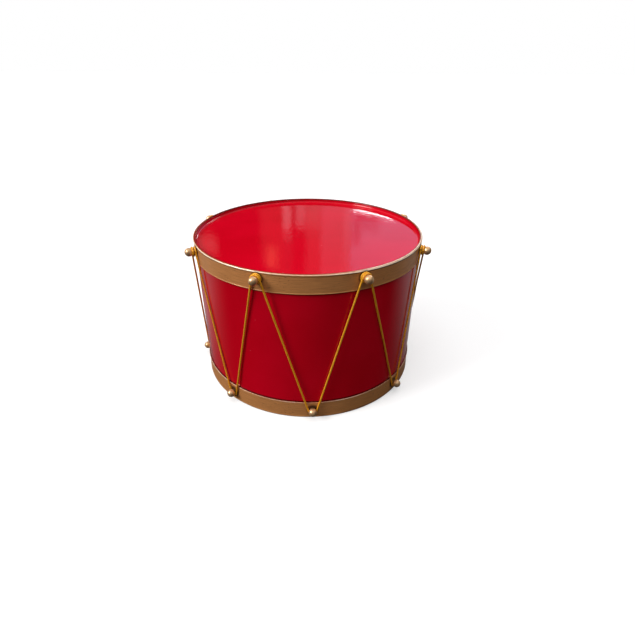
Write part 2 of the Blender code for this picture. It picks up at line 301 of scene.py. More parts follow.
def makeFlecks():
    # sparse specks of dust: about half of the cells hold a dot, of Size mm on a grid of Spacing mm
    group, come, go = newGroup("dustFlecks", {"Place": None, "Spacing": 22.0, "Size": 0.5},
                               {"Mask": "Float"})
    perMetre = maths(group, "DIVIDE", 1.0 / mm, come["Spacing"])
    cells = node(group, "TexVoronoi", feature="F1", Vector=come["Place"], Scale=perMetre).outputs
    reach = maths(group, "DIVIDE", come["Size"], come["Spacing"])
    dot = maths(group, "LESS_THAN", cells["Distance"], reach)
    pick = node(group, "SeparateColor", Color=cells["Color"]).outputs[0]
    some = maths(group, "GREATER_THAN", pick, 0.45)
    link(group, maths(group, "MULTIPLY", dot, some), go["Mask"])
    return group


def makeStreaks():
    # brush lines along a band: noise stretched Stretch times along U. Scratches are the peaks of a
    # shorter noise, where a slow one is high, and cut twice as deep
    group, come, go = newGroup("brushStreaks",
                               {"Along": None, "Fineness": 0.45, "Stretch": 60.0, "Scratches": 0.3},
                               {"Tone": "Float", "Scratch": "Float", "Normal": "Vector"})
    axes = axesOf(group, come["Along"])
    across = maths(group, "DIVIDE", axes["Y"], come["Fineness"])
    step = maths(group, "MULTIPLY", come["Fineness"], come["Stretch"])
    along = maths(group, "DIVIDE", axes["X"], step)
    stretched = inOrder(group, "CombineXYZ", along, across)
    threads = noise(group, stretched, Scale=1.0, Detail=3.0, Roughness=0.6)
    short = inOrder(group, "CombineXYZ", maths(group, "MULTIPLY", along, 4.0),
                    maths(group, "MULTIPLY", across, 0.55))
    marks = noise(group, short, Scale=1.0, Detail=1.0)
    patches = noise(group, come["Along"], Scale=0.035, Detail=1.0)
    deep = span(group, marks, 0.66, 0.72)
    where = span(group, patches, 0.48, 0.60)
    scratch = maths(group, "MULTIPLY", maths(group, "MULTIPLY", deep, where), come["Scratches"])
    height = maths(group, "SUBTRACT", threads, maths(group, "MULTIPLY", scratch, 2.0))
    link(group, threads, go["Tone"])
    link(group, scratch, go["Scratch"])
    link(group, bumpNormal(group, height, 0.012 * mm), go["Normal"])
    return group


def makeBraid():
    # threads wound both ways round a cord: two sines along the diagonals of its UV map, the higher on top
    group, come, go = newGroup("cordBraid", {"Along": None, "Threads": 8.0, "Pitch": 7.0},
                               {"Height": "Float", "Thread": "Float", "Normal": "Vector"})
    axes = axesOf(group, come["Along"])
    turns = maths(group, "DIVIDE", axes["X"], come["Pitch"])
    ways = []
    for sign in (1.0, -1.0):
        leaning = maths(group, "MULTIPLY_ADD", turns, sign, axes["Y"])
        wound = maths(group, "MULTIPLY", leaning, come["Threads"])
        phase = maths(group, "MULTIPLY", wound, 2 * np.pi)
        ways.append(maths(group, "ABSOLUTE", maths(group, "SINE", phase)))
    height = maths(group, "MAXIMUM", *ways)
    link(group, height, go["Height"])
    link(group, maths(group, "GREATER_THAN", *ways), go["Thread"])
    link(group, bumpNormal(group, height, 0.10 * mm), go["Normal"])
    return group


paintPeel = makePeel()
dustFlecks = makeFlecks()
brushStreaks = makeStreaks()
cordBraid = makeBraid()


# Materials

def newMaterial(name):
    material = bpy.data.materials.new(name)
    material.use_nodes = True
    return material, material.node_tree, material.node_tree.nodes["Principled BSDF"]


def place(tree, group, **values):
    return node(tree, "Group", node_tree=group, **values).outputs


def finish(tree, shader, colour, **values):
    for name, value in {"Base Color": colour, **values}.items():
        setSocket(tree, shader.inputs[name], value)


enamel = {
    "red": (0.60, 0.0008, 0.0130),
    "deepRed": (0.55, 0.0005, 0.0100),
    "roughness": {"head": (0.025, 0.050), "shell": (0.055, 0.095)},
    "peel": {"head": (4.4, 0.060, 0.06), "shell": (2.0, 0.014, 0.10)},  # Size, Depth and Swell
    "dust": (0.75, 0.42, 0.40),
    "dustSize": 0.45,
    "dustSpacing": {"head": 26.0, "shell": 20.0},
    "dustCover": 0.35,
    # painted shade on the wall beside each hoop
    "paintedShade": (0.07, 0.0008, 0.0008),
    "paintedShadeLow": (0.0250, 0.0262, 1.0, 0.0),  # two heights in metres, and how much it covers at each
    "paintedShadeHigh": (0.1730, 0.1745, 0.0, 0.8),
}


def makeEnamel(part):
    # sprayed red paint in slow clouds, with smears of gloss, orange peel and a few specks of dust
    material, tree, shader = newMaterial(part + "Enamel")
    spot = spotOf(tree)
    clouds = noise(tree, spot, Scale=14.0, Detail=2.0)
    smears = noise(tree, spot, Scale=45.0, Detail=3.0, Distortion=1.2)
    paint = mixColour(tree, span(tree, clouds, 0.35, 0.65), enamel["red"], enamel["deepRed"])
    spacing = enamel["dustSpacing"][part]
    flecks = place(tree, dustFlecks, Place=spot, Spacing=spacing, Size=enamel["dustSize"])
    covered = maths(tree, "MULTIPLY", flecks["Mask"], enamel["dustCover"])
    paint = mixColour(tree, covered, paint, enamel["dust"])
    if part == "shell":
        # painted shade in the corner beside each hoop, by height
        height = axesOf(tree, spot)["Z"]
        ends = [span(tree, height, *enamel[end]) for end in ("paintedShadeLow", "paintedShadeHigh")]
        paint = mixColour(tree, maths(tree, "MAXIMUM", *ends), paint, enamel["paintedShade"])
    size, depth, swell = enamel["peel"][part]
    peel = place(tree, paintPeel, Place=spot, Size=size, Depth=depth, Swell=swell)
    rough = span(tree, smears, 0.3, 0.7, *enamel["roughness"][part])
    finish(tree, shader, paint, Roughness=rough, Normal=peel["Normal"])
    return material


gold = {
    "light": (0.69, 0.295, 0.098),
    "dark": (0.47, 0.188, 0.056),
    # pale worn paint, also used for the painted highlight on the bend, lip and bead
    "wornAndHighlit": (1.0, 0.86, 0.68),
    "wornAndHighlitSmoother": 0.10,
    "ragged": 0.55,  # how uneven the edges of the worn and highlit zones are
    "spray": (0.27, 0.0008, 0.0050),
    "dirtAndShade": (0.06, 0.024, 0.010),  # dirt in the scratches, and dirt and painted shade where hoopMasks says
    "roughness": (0.34, 0.50),
    "metallic": 0.12,
}


def makeGold():
    # brushed gold paint, scratched and worn, with painted highlights, red overspray, dirt and painted
    # shade where hoopMasks says
    material, tree, shader = newMaterial("goldPaint")
    along = node(tree, "UVMap", uv_map="band").outputs[0]
    masks = {title: node(tree, "Attribute", attribute_name=title).outputs["Fac"]
             for title in ("wearAndHighlight", "spray", "dirtAndShade")}
    streaks = place(tree, brushStreaks, Along=along, Fineness=0.42, Stretch=55.0, Scratches=0.85)
    paint = mixColour(tree, span(tree, streaks["Tone"], 0.30, 0.70), gold["light"], gold["dark"])
    chips = noise(tree, spotOf(tree), Scale=260.0, Detail=3.0)
    uneven = maths(tree, "MULTIPLY_ADD", chips, 2 * gold["ragged"], -gold["ragged"])
    # worn paint and painted highlight, with ragged edges
    wearAndHighlightShare = maths(tree, "MULTIPLY", masks["wearAndHighlight"], maths(tree, "ADD", masks["wearAndHighlight"], uneven), clamp=True)
    for mask, colour in ((streaks["Scratch"], "dirtAndShade"), (wearAndHighlightShare, "wornAndHighlit"), (masks["spray"], "spray"),
                         (masks["dirtAndShade"], "dirtAndShade")):
        paint = mixColour(tree, mask, paint, gold[colour])
    rough = span(tree, streaks["Tone"], 0.3, 0.7, *gold["roughness"])
    smoother = maths(tree, "MULTIPLY", wearAndHighlightShare, gold["wornAndHighlitSmoother"])
    finish(tree, shader, paint, Roughness=maths(tree, "SUBTRACT", rough, smoother),
           Metallic=gold["metallic"], Normal=streaks["Normal"])
    return material


knobFinish = {
    "bright": (1.0, 0.64, 0.35),
    "dull": (0.84, 0.49, 0.23),
    "roughness": (0.33, 0.44),
    "metallic": 0.74,
    "dirtAndShade": (0.10, 0.030, 0.006),  # dirt and painted shade on the neck, where it meets the hoop
    "dirtAndShadeFrom": (0.1519, 0.1537, 0.85, 0.0),  # metres from the drum's axis, and how much it covers there
}


def makeKnobMetal():
    # stained brass, with dirt and painted shade that fade out by the distance from the drum's axis
    material, tree, shader = newMaterial("knobMetal")
    spot = spotOf(tree)
    stain = noise(tree, spot, Scale=180.0, Detail=3.0)
    brass = mixColour(tree, span(tree, stain, 0.35, 0.7), knobFinish["bright"], knobFinish["dull"])
    axes = axesOf(tree, spot)
    squares = [maths(tree, "MULTIPLY", axes[axis], axes[axis]) for axis in "XY"]
    fromAxis = maths(tree, "SQRT", maths(tree, "ADD", *squares))
    dirtAndShade = span(tree, fromAxis, *knobFinish["dirtAndShadeFrom"])
    peel = place(tree, paintPeel, Place=spot, Size=0.9, Depth=0.03, Swell=0.0)
    finish(tree, shader, mixColour(tree, dirtAndShade, brass, knobFinish["dirtAndShade"]),
           Roughness=span(tree, stain, 0.3, 0.7, *knobFinish["roughness"]),
           Metallic=knobFinish["metallic"], Normal=peel["Normal"])
    return material


steel = {"dark": (0.42, 0.42, 0.43), "pale": (0.62, 0.62, 0.63), "roughness": (0.28, 0.42)}


def makeSteel():
    material, tree, shader = newMaterial("studSteel")
    grain = noise(tree, spotOf(tree), Scale=900.0, Detail=2.0)
    finish(tree, shader, mixColour(tree, grain, steel["dark"], steel["pale"]), Metallic=1.0,
           Roughness=span(tree, grain, 0.3, 0.7, *steel["roughness"]))
    return material


thread = {
    "crown": (1.0, 0.48, 0.020),
    "other": (0.96, 0.42, 0.014),
    # painted shade, in the gaps of the braid
    "gap": (0.60, 0.21, 0.005),
    "metallic": 0.16,
    "roughness": 0.38,
    "threads": 6.0,
    "pitch": 6.4,
}


def makeThread():
    # two tones of thread by the way they are wound, with painted shade in the gaps, and slow slubs of the
    # second
    material, tree, shader = newMaterial("goldThread")
    along = node(tree, "UVMap", uv_map="thread").outputs[0]
    braid = place(tree, cordBraid, Along=along, Threads=thread["threads"], Pitch=thread["pitch"])
    crown = mixColour(tree, braid["Thread"], thread["crown"], thread["other"])
    # painted shade where the braid is low
    paint = mixColour(tree, span(tree, braid["Height"], 0.55, 0.85), thread["gap"], crown)
    slub = noise(tree, along, Scale=0.35, Detail=2.0)
    paint = mixColour(tree, span(tree, slub, 0.4, 0.7, 0.0, 0.35), paint, thread["other"])
    finish(tree, shader, paint, Roughness=thread["roughness"], Metallic=thread["metallic"],
           Normal=braid["Normal"])
    return material


headEnamel = makeEnamel("head")
shellEnamel = makeEnamel("shell")
goldPaint = makeGold()
knobMetal = makeKnobMetal()
studSteel = makeSteel()
goldThread = makeThread()
print("materials made")


# Helpers for the surfaces

def arc(centre, radius, start, end, count):
    # points on a circle between two angles in degrees
    angles = np.radians(np.linspace(start, end, count))
    return np.stack([centre[0] + radius * np.cos(angles), centre[1] + radius * np.sin(angles)], 1)


def line(start, end, count):
    # points on a line, closer together near its two ends: share = (1 - cos(pi t)) / 2
    share = (1 - np.cos(np.pi * np.linspace(0, 1, count))) / 2
    return np.outer(1 - share, start) + np.outer(share, end)


def joined(*runs):
    # one profile from several runs, without the points that repeat
    points = np.concatenate(runs)
    step = np.linalg.norm(np.diff(points, axis=0), axis=1)
    return points[np.concatenate([[True], step > 1e-6])]


def travelled(points):
    # how far along the path each point lies: the running sum of the steps between them
    return np.concatenate([[0], np.cumsum(np.linalg.norm(np.diff(points, axis=0), axis=1))])


def unit(vectors):
    # each at a length of one
    return vectors / np.linalg.norm(vectors, axis=-1, keepdims=True)


def ripple(angles, waves, size):
    # the mean of a few sines round the ring: sin(count a + phase) / (1 + 0.15 count)
    total = sum(np.sin(count * angles + phase) / (1 + 0.15 * count) for count, phase in waves)
    return size * total / len(waves)


def eased(value, low, high):
    # s^2 (3 - 2 s), with s the share of the way from low to high, either of which may be the larger
    share = np.clip((value - low) / (high - low), 0, 1)
    return share * share * (3 - 2 * share)


def outward(azimuth):
    # the unit vector away from the drum's axis: (sin a, -cos a, 0)
    angle = np.radians(azimuth)
    return np.stack([np.sin(angle), -np.cos(angle), 0 * angle], -1)


def sideways(azimuth):
    # the level unit vector to the right of it, seen from outside: (cos a, sin a, 0)
    angle = np.radians(azimuth)
    return np.stack([np.cos(angle), np.sin(angle), 0 * angle], -1)


upward = np.array([0.0, 0.0, 1.0])


def gridFaces(grid, closeRows, poles):
    # grid[row, column] closes on itself along its columns; a pole closes each open end with a fan. The
    # sum of a . (b x c) over the triangles is below nought if they are inside out
    rows, columns = grid.shape[:2]
    row = np.arange(rows if closeRows else rows - 1)[:, None]
    column = np.arange(columns)[None, :]
    nextRow, nextColumn = (row + 1) % rows, (column + 1) % columns
    quads = np.stack([row * columns + column, row * columns + nextColumn,
                      nextRow * columns + nextColumn, nextRow * columns + column], -1).reshape(-1, 4)
    points = grid.reshape(-1, 3)
    fans = np.zeros((0, 3), int)
    if poles is not None:
        ring = np.arange(columns)
        after = (ring + 1) % columns
        last = (rows - 1) * columns
        first = np.stack([np.full(columns, len(points)), after, ring], 1)
        final = np.stack([np.full(columns, len(points) + 1), last + ring, last + after], 1)
        fans = np.concatenate([first, final])
        points = np.concatenate([points, poles])
    corners = points[quads]
    halves = np.concatenate([corners[:, [0, 1, 2]], corners[:, [0, 2, 3]], points[fans]])
    volume = np.einsum("ij,ij->", halves[:, 0], np.cross(halves[:, 1], halves[:, 2]))
    if volume < 0:
        quads, fans = quads[:, ::-1], fans[:, ::-1]
    return points, quads, fans, volume < 0


def makePiece(name, grid, material, nodes, closeRows=False, poles=None, masks={}, band=None):
    # masks: one number for each point, by name; band: (name, along, across) as a UV map in millimetres
    points, quads, fans, flipped = gridFaces(grid, closeRows, poles)
    mesh = bpy.data.meshes.new(name)
    mesh.from_pydata((points * mm).tolist(), [], quads.tolist() + fans.tolist())
    mesh.polygons.foreach_set("use_smooth", np.ones(len(mesh.polygons), bool))
    for title, values in masks.items():
        layer = mesh.attributes.new(title, "FLOAT", "POINT")
        layer.data.foreach_set("value", values.ravel().astype(np.float32))
    if band is not None:
        title, u, v = band  # each as [row, column], one longer than the grid where it closes
        corners = [(0, 0), (0, 1), (1, 1), (1, 0)]
        rowCount, columnCount = len(quads) // grid.shape[1], grid.shape[1]
        pairs = [np.stack([values[i:i + rowCount, j:j + columnCount] for values in (u, v)], -1)
                 for i, j in (corners[::-1] if flipped else corners)]
        flat = np.stack(pairs, 2).reshape(-1, 2)
        spare = np.tile(flat[:1], (3 * len(fans), 1))
        layer = mesh.uv_layers.new(name=title)
        layer.data.foreach_set("uv", np.concatenate([flat, spare]).astype(np.float32).ravel())
    mesh.materials.append(material)
    piece = bpy.data.objects.new(name, mesh)
    scene.collection.objects.link(piece)
    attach(piece, "root")
    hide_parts(*nodes)


def turned(profile, angles, outBy=0.0, upBy=0.0):
    # a profile of (radius, height) turned round the drum's axis: row = profile, column = angle
    radius = profile[:, :1] + outBy
    height = profile[:, 1:] + upBy + 0 * angles[None, :]
    return np.stack([radius * np.sin(angles), -radius * np.cos(angles), height], -1)


def turnedAbout(base, axis, across, other, profile, count):
    # a profile of (radius, distance) turned round any axis:
    # base + distance axis + radius (cos t across + sin t other)
    around = np.linspace(0, 2 * np.pi, count, endpoint=False)
    spokes = np.cos(around)[:, None] * across + np.sin(around)[:, None] * other
    return base + profile[:, 1][:, None, None] * axis + profile[:, 0][:, None, None] * spokes[None]


drum = {"height": 198.0, "steps": 384}
rings = ("top", "bottom")


def fromEnd(ring, depth):
    # (radius, depth) as (radius, height): down from the rim, or up from the foot
    return np.stack([depth[:, 0], drum["height"] - depth[:, 1] if ring == "top" else depth[:, 1]], 1)


# The shell

shell = {
    "radius": 148.4,
    "sheet": 0.8,
    "edge": 1.5,  # below the rim
    "rounding": 0.2,
    "seamWide": 0.5,
    "seamDeep": 0.35,
    "lap": (-2.5, 7.5, 8.3),  # the inner ply behind the seam: from, to, and its distance from the ends
    "lapSoft": 0.4,  # over what length it starts, along the wall
    "lapStep": 0.2,  # and half of that up the wall
    "wave": 0.10,
    "waves": ((3, 0.4), (5, 2.1), (8, 4.0), (13, 1.3)),  # counts and phases
    "shift": 0.004,  # radians, so that no even column falls on one of these, in degrees from the seam
    "beside": (-3.2, -3.0, -2.8, -0.9, -0.5, -0.2, -0.12, -0.08, -0.04, 0.0,
               0.04, 0.08, 0.12, 0.2, 0.5, 0.9, 1.1, 1.3),
}


def makeShell():
    # a tube: radius = wall + ripples that are widest half way up, less a groove at the seam; the inner
    # wall steps in at the lap
    seam = np.pi
    near = np.radians(shell["beside"])
    even = np.linspace(-np.pi, np.pi, drum["steps"], endpoint=False) + shell["shift"]
    angles = np.sort(np.concatenate([even, seam + near[near < 0], near[near >= 0] - np.pi]))
    low, high = shell["edge"], drum["height"] - shell["edge"]
    outer, inner = shell["radius"], shell["radius"] - shell["sheet"]
    lapFrom, lapTo, lapEnds = shell["lap"]
    lapLow, lapHigh = lapEnds, drum["height"] - lapEnds
    rounding, step = shell["rounding"], shell["lapStep"]
    wall = joined(
        arc((outer - rounding, high - rounding), rounding, 90, 0, 5),
        line((outer, high - rounding), (outer, low + rounding), 30),
        arc((outer - rounding, low + rounding), rounding, 0, -90, 5),
        arc((inner + rounding, low + rounding), rounding, -90, -180, 5),
        line((inner, lapLow - step), (inner, lapLow + step), 2),
        line((inner, lapLow + 1), (inner, lapHigh - 1), 12),
        line((inner, lapHigh - step), (inner, lapHigh + step), 2),
        arc((inner + rounding, high - rounding), rounding, 180, 90, 5))
    height = wall[:, 1:]
    isOuter = (wall[:, :1] > (outer + inner) / 2).astype(float)
    fromSeam = (np.mod(angles - seam + np.pi, 2 * np.pi) - np.pi) * outer  # along the wall, to the left
    groove = eased(np.abs(fromSeam), 0.6 * shell["seamWide"], 0.3 * shell["seamWide"])
    soft = shell["lapSoft"]
    ply = eased(-fromSeam, lapFrom - soft, lapFrom) * eased(-fromSeam, lapTo + soft, lapTo)
    inBetween = eased(height, lapLow - step, lapLow + step) * eased(height, lapHigh + step, lapHigh - step)
    swell = ripple(angles, shell["waves"], shell["wave"])
    middle = np.sin(np.pi * (height - low) / (high - low))
    outBy = -isOuter * groove * shell["seamDeep"] - (1 - isOuter) * inBetween * ply * shell["sheet"]
    grid = turned(wall, angles, outBy + middle * swell)
    makePiece("shellWall", grid, shellEnamel, ["shell"], closeRows=True)


# The heads

head = {
    "radius": 147.3,
    "sheet": 0.8,
    "recess": 5.5,
    "fillet": 2.5,
    "edge": 1.5,
    "hub": 1.5,  # the radius of the smallest ring of points
    "dish": 0.12,
    "waves": ((1.0, 5.3, 0.6, 2, 0.5), (0.7, 8.1, 0.0, 3, 2.2)),  # share, rate, start, count, phase
    "sink": 0.25,  # at its middle
    "flat": (0.97, 0.80),  # where both start, in shares of the way to the wall
}


def makeHead(ring):
    # a pan: flat face, fillet, wall and hem. With r the share of the way to its wall, the face rises by
    # dish r sum(share sin(rate r + start) sin(count azimuth + phase)) - sink (1 - r^2)
    angles = np.linspace(-np.pi, np.pi, drum["steps"], endpoint=False)
    radius, sheet, recess, fillet = (head[key] for key in ("radius", "sheet", "recess", "fillet"))
    wallIn = radius - sheet
    middle = (wallIn - fillet, recess - fillet)
    hem = sheet / 2
    depth = joined(
        line((head["hub"], recess), (wallIn - fillet, recess), 60),
        arc(middle, fillet, 90, 0, 12),
        line((wallIn, middle[1]), (wallIn, head["edge"] + hem), 6),
        arc((wallIn + hem, head["edge"] + hem), hem, 180, 360, 9),
        line((radius, head["edge"] + hem), (radius, middle[1]), 6),
        arc(middle, fillet + sheet, 0, 90, 12),
        line((wallIn - fillet, recess + sheet), (head["hub"], recess + sheet), 30))
    way = depth[:, :1] / wallIn
    flat = eased(way, *head["flat"])
    waves = sum(share * np.sin(rate * way + start) * np.sin(angles * count + phase)
                for share, rate, start, count, phase in head["waves"])
    rise = flat * way * waves * head["dish"] - head["sink"] * flat * (1 - way ** 2)
    grid = turned(fromEnd(ring, depth), angles, 0.0, rise if ring == "top" else -rise)
    poles = np.array([[0, 0, grid[0, :, 2].mean()], [0, 0, grid[-1, :, 2].mean()]])
    makePiece(ring + "Head", grid, headEnamel, [ring + "_head"], poles=poles)


# The hoops

hoop = {
    "radius": 149.6,
    "topHeight": 23.4,
    "bottomHeight": 24.4,
    "sheet": 0.9,
    "bend": 1.6,
    "lip": 2.7,
    "beadProud": 0.4,
    "beadHeight": 1.6,
    "beadShort": 0.15,  # where it ends above the free edge
    "rounding": 0.2,
    "lastStep": 0.5,  # from the profile's last point back to its first
    "wave": 0.07,
    "waves": ((2, 1.2), (4, 0.3), (9, 2.0)),
    "waveFrom": (1.0, 6.0),
    "edgeWave": 0.16,
    "edgeWaves": ((2, 0.9), (7, 3.0), (11, 0.2), (17, 5.1), (29, 1.0)),
    "edgeReach": 6.0,  # how far from the free edge they start
    "edgeBack": 0.15,  # the most that they draw it back
}

# where the hoops' paint is worn, sprayed over and dirty, and where painted highlight and painted shade lie
# on it: a pair is where a mask starts and where it is full, by the depth from the turned-in edge unless a
# note says otherwise
wear = {
    "within": 0.1,  # how far inside the radius still counts as the face
    "left": (-5.0, -35.0),  # azimuths, and so are the next two
    "right": (0.0, 30.0),
    "back": (95.0, 115.0),
    "reach": (1.05, 0.65, 0.70),  # how far the bend is worn, and further left and right as painted highlight
    "bend": (0.05, 0.14),
    "bendFade": 0.3,
    "bendWearAndHighlight": (0.85, 0.15),  # its strength, and what each side adds as painted highlight
    "bead": (1.8, 1.3),  # from the free edge, and so are the next and the rim
    "beadEnd": (0.10, 0.20),
    "rim": (0.20, 0.12),
    # the bead's pale line: partly wear, partly painted highlight where it faces up
    "beadWearAndHighlight": {"top": 0.10, "bottom": 0.62},
    "beadPatches": (0.3, 5, 1.0),  # strength, count and phase
    "beadFront": (0.6, 3.0, 10.0),  # how much less at the front, where and how wide
    "crown": (0.7, 1.3),  # painted highlight on the lip's top at the right: out from the lip's radius
    "spray": (0.14, 0.4),  # how far it covers the lip, and further at the back
    "sprayFade": 0.09,
    "lipShade": (0.60, 0.45),  # painted shade: its strength at the right and at the back
    # painted shade on the free edge's rim
    "rimShade": 0.4,
    "under": (0.0, 0.25),  # below the worn and highlit bend, and so is the next
    "underEnd": (1.4, 0.8),
    "underShade": (0.20, 0.70),  # painted shade: its strength, and what the right adds
    "neck": (8.6, 5.9),  # from the middle of a knob's neck
    # dirt and painted shade round each neck
    "neckDirtAndShade": 0.92,
}


def hoopProfile(height):
    # (radius, depth from the turned-in edge): lip, bend, face, bead along the free edge, which stands out
    # by proud sin(pi t)^2, and back up the inside
    radius, sheet, bend, corner = (hoop[key] for key in ("radius", "sheet", "bend", "rounding"))
    bead = radius + hoop["beadProud"]
    bore = radius - sheet
    bendIn = bend - sheet
    half = sheet / 2
    lip = radius - hoop["lip"]
    rise = np.linspace(0, 1, 9)
    beadTop = height - hoop["beadHeight"]
    return joined(
        arc((lip + half, half), half, 180, 270, 6),
        line((lip + half, 0.0), (bead - bend, 0.0), 5),
        arc((bead - bend, bend), bend, -90, 0, 9),
        np.stack([bead - hoop["beadProud"] * eased(rise, 0, 1), bend + hoop["beadHeight"] * rise], 1),
        line((radius, bend + hoop["beadHeight"]), (radius, beadTop), 14),
        np.stack([radius + hoop["beadProud"] * np.sin(np.pi * rise[:-1]) ** 2,
                  beadTop + (hoop["beadHeight"] - hoop["beadShort"]) * rise[:-1]], 1),
        arc((radius - corner, height - corner), corner, 0, 90, 4),
        arc((bore + corner, height - corner), corner, 90, 180, 4),
        line((bore, height - corner), (bore, sheet + bendIn), 8),
        arc((bore - bendIn, sheet + bendIn), bendIn, 0, -90, 5),
        arc((lip + half, half), half, 90, 180, 6)[:-1])


def neckDistance(ring, azimuth, down):
    # from the middle of the nearest neck: the root of (radius turn)^2 + (down - its depth)^2
    fromEdge = drum["height"] - knob["topHeight"] if ring == "top" else knob["bottomHeight"]
    turns = [np.radians((azimuth - knobAzimuth(ring, index) + 180.0) % 360.0 - 180.0)
             for index in range(knob["count"])]
    return np.min([np.hypot(turn * hoop["radius"], down - fromEdge) for turn in turns], axis=0)


def hoopMasks(ring, depth, height, angles):
    # products of eased steps, the larger wherever two meet. The bend is worn below its crest, with painted
    # highlight further along it at the left and right and over the crest at the right; the bead is partly
    # worn and partly painted highlight. Red overspray covers the rest of the lip and the free edge's rim.
    # Painted shade lies under the bend and on the edges, and dirt with painted shade lies in a ring round
    # each neck
    down = depth[:, 1:]
    fromFree = height - down
    fromLip = depth[:, :1] - (hoop["radius"] - hoop["lip"])
    outside = depth[:, :1] > hoop["radius"] - wear["within"]
    azimuth = np.degrees(angles)[None, :]
    back = eased(np.abs(azimuth), *wear["back"])
    left, right = eased(azimuth, *wear["left"]), eased(azimuth, *wear["right"]) * (1 - back)
    reach, moreLeft, moreRight = wear["reach"]
    below = down - (reach + moreLeft * left + moreRight * right)
    strength, more = wear["bendWearAndHighlight"]
    bendWearAndHighlight = outside * eased(down, *wear["bend"]) * eased(-below, 0.0, wear["bendFade"])
    bendWearAndHighlight = bendWearAndHighlight * (strength + more * (left + right))
    sprayed, furtherBack = wear["spray"]
    # painted highlight on the lip's flat top at the right
    crown = eased(fromLip, *wear["crown"]) * eased(sprayed - down, 0.0, wear["sprayFade"]) * right
    less, front, wide = wear["beadFront"]
    patchy, count, phase = wear["beadPatches"]
    # the bead's pale line, partly wear and partly painted highlight
    beadWearAndHighlight = outside * eased(fromFree, *wear["bead"]) * eased(fromFree, *wear["beadEnd"])
    beadWearAndHighlight = wear["beadWearAndHighlight"][ring] * beadWearAndHighlight * (1 - less * np.exp(-((azimuth - front) / wide) ** 2))
    beadWearAndHighlight = beadWearAndHighlight * (1 + patchy * np.sin(count * angles + phase))
    rim = eased(fromFree, *wear["rim"])
    lipSpray = eased(sprayed + furtherBack * back - down, 0.0, wear["sprayFade"]) * (1 - crown)
    # painted shade on the lip at the right and at the back
    atRight, atBack = wear["lipShade"]
    lipShade = lipSpray * np.maximum(atRight * right, atBack * back)
    strength, more = wear["underShade"]
    # painted shade in the crease under the bend
    under = eased(below, *wear["under"]) * eased(below, *wear["underEnd"]) * (strength + more * right)
    # dirt and painted shade round each neck
    neckDirtAndShade = wear["neckDirtAndShade"] * eased(neckDistance(ring, azimuth, down), *wear["neck"])
    # painted shade on the free edge's rim, joined with the other shade and dirt
    dirtAndShade = np.maximum(outside * np.maximum(under, neckDirtAndShade) + lipShade, wear["rimShade"] * rim)
    return {"wearAndHighlight": np.maximum(np.maximum(bendWearAndHighlight, crown), beadWearAndHighlight),
            "spray": np.maximum(lipSpray, rim), "dirtAndShade": dirtAndShade}


def makeHoop(ring):
    # its profile turned round the drum, with ripples of the radius and of the free edge
    angles = np.linspace(-np.pi, np.pi, 2 * drum["steps"], endpoint=False)
    height = hoop[ring + "Height"]
    depth = hoopProfile(height)
    outBy = ripple(angles, hoop["waves"], hoop["wave"]) * eased(depth[:, 1:], *hoop["waveFrom"])
    edge = np.maximum(ripple(angles, hoop["edgeWaves"], hoop["edgeWave"]), -hoop["edgeBack"])
    away = eased(depth[:, 1:], height - hoop["edgeReach"], height) * edge
    grid = turned(fromEnd(ring, depth), angles, outBy, -away if ring == "top" else away)
    run = travelled(depth)
    run = np.append(run, run[-1] + hoop["lastStep"])
    v, u = np.meshgrid(run, np.append(angles, np.pi) * hoop["radius"], indexing="ij")
    makePiece(ring + "Hoop", grid, goldPaint, [ring + "_hoop"], closeRows=True,
              masks=hoopMasks(ring, depth, height, angles), band=("band", u, v))


# The ball knobs

knob = {
    "count": 8,
    "ball": 5.2,
    "neck": 3.8,
    "blend": 0.5,  # the fillet between them
    "chamfer": 0.4,
    "offHoop": 0.12,
    "bore": 1.8,
    "intoBall": 0.7,
    "hub": 0.2,  # the radius of the bore's smallest ring of points
    "sides": 40,
    "topHeight": 190.2,
    "bottomHeight": 13.1,
    "topFirst": -66.5,
    "bottomFirst": -87.1,
    "topStray": (1.2, -0.1, 0.3, -1.8, 2.0, 1.0, -1.0, -2.5),
    "bottomStray": (-1.7, 0.9, -1.3, 2.0, 4.5, 2.0, 0.5, -0.8),
}

cord = {
    "radius": 1.15,
    "room": 0.3,  # off whatever it lies on
    "passes": 2,  # round a top knob
    "passGap": 0.8,
    "crossFrom": 0.58,
    "crossTo": 0.94,
    "ballPlay": 0.1,
    "endGap": 0.8,
    "firstTilt": 0.3,  # radians, the first guess at a strand's lean
    "aims": 8,
    "fine": 0.2,  # its step while the bends are softened, and then between rings
    "step": 0.62,
    "sides": 12,
    "ease": 0.9,  # how far a bend is softened
}

wrapRadius = knob["neck"] + cord["room"] + cord["radius"]
firstPass = hoop["radius"] + hoop["beadProud"] + cord["room"] + cord["radius"]
passStep = 2 * cord["radius"] + cord["passGap"]


def knobAzimuth(ring, index):
    stray = knob[ring + "Stray"][index % knob["count"]]
    return knob[ring + "First"] + index * 360.0 / knob["count"] + stray


def ballDistance(ring):
    # the root of clear^2 - wrapRadius^2 beyond the last pass
    passes = cord["passes"] if ring == "top" else 1
    clear = knob["ball"] + cord["room"] + cord["radius"]
    return firstPass + (passes - 1) * passStep + np.sqrt(clear ** 2 - wrapRadius ** 2) + cord["ballPlay"]


